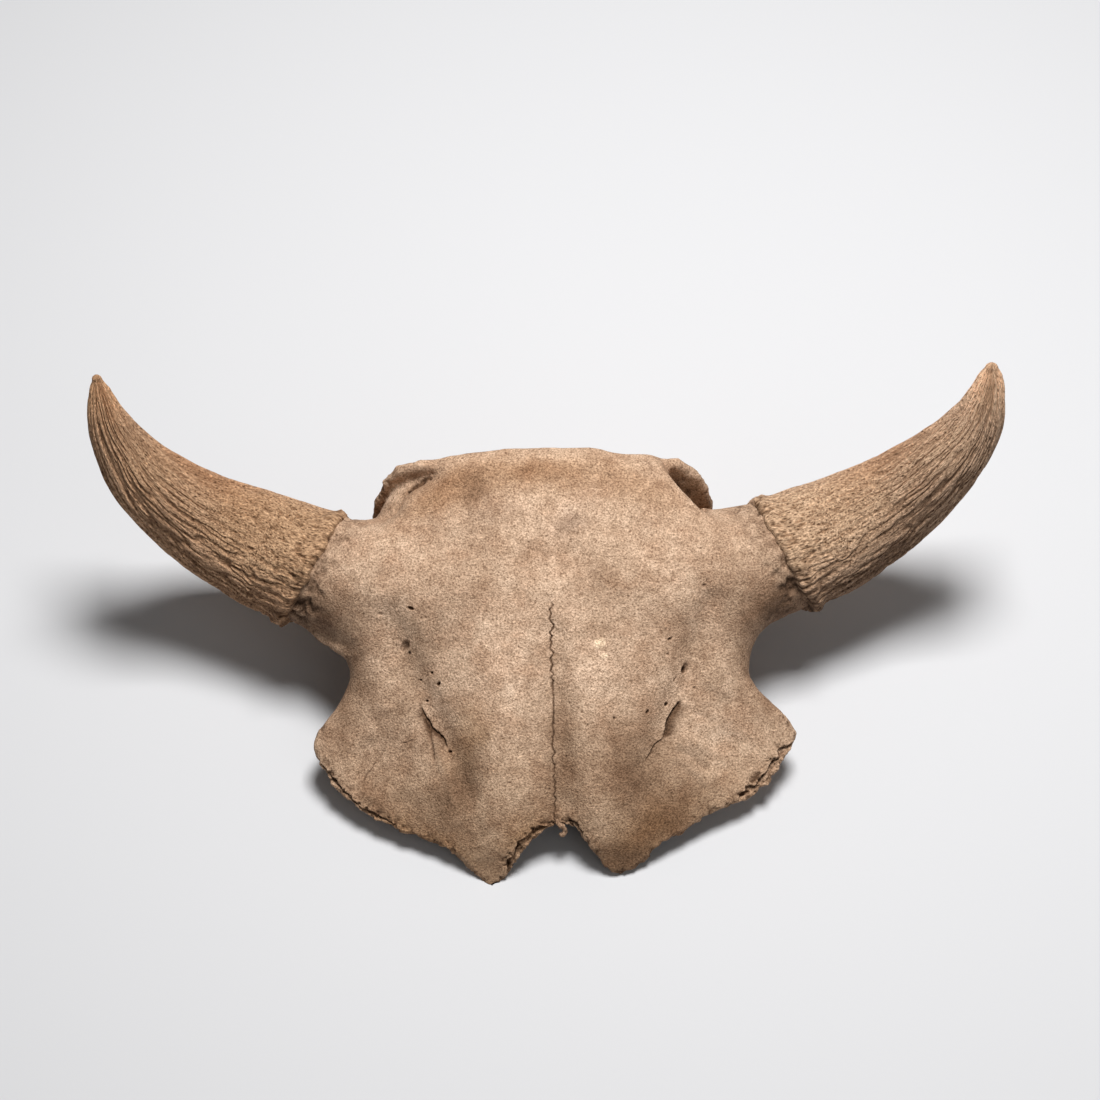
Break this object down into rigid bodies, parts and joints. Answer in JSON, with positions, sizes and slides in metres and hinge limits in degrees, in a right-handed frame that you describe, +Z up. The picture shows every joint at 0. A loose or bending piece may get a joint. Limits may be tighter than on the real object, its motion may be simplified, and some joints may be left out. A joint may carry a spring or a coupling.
{
  "type": "bison skull",
  "caption": "Weathered partial skull of a bull bison: broad forehead with a zigzag seam, two bare upswept horn cores, braincase and neck plate, face broken away.",
  "frame": {"origin": "bottom centre of the bounding box, on the floor that the skull lies on", "axes": "+X from the skull's own right horn to its own left horn, as seen on the right in the picture; +Y from the broken nasal end back to the crest; +Z up from the floor"},
  "size_m": [0.6216, 0.2924, 0.2258],
  "materials": {
    "bone": "matt, dry and weathered"
  },
  "bodies": {
    "root": {"skull": "bone"}
  },
  "joints": []
}
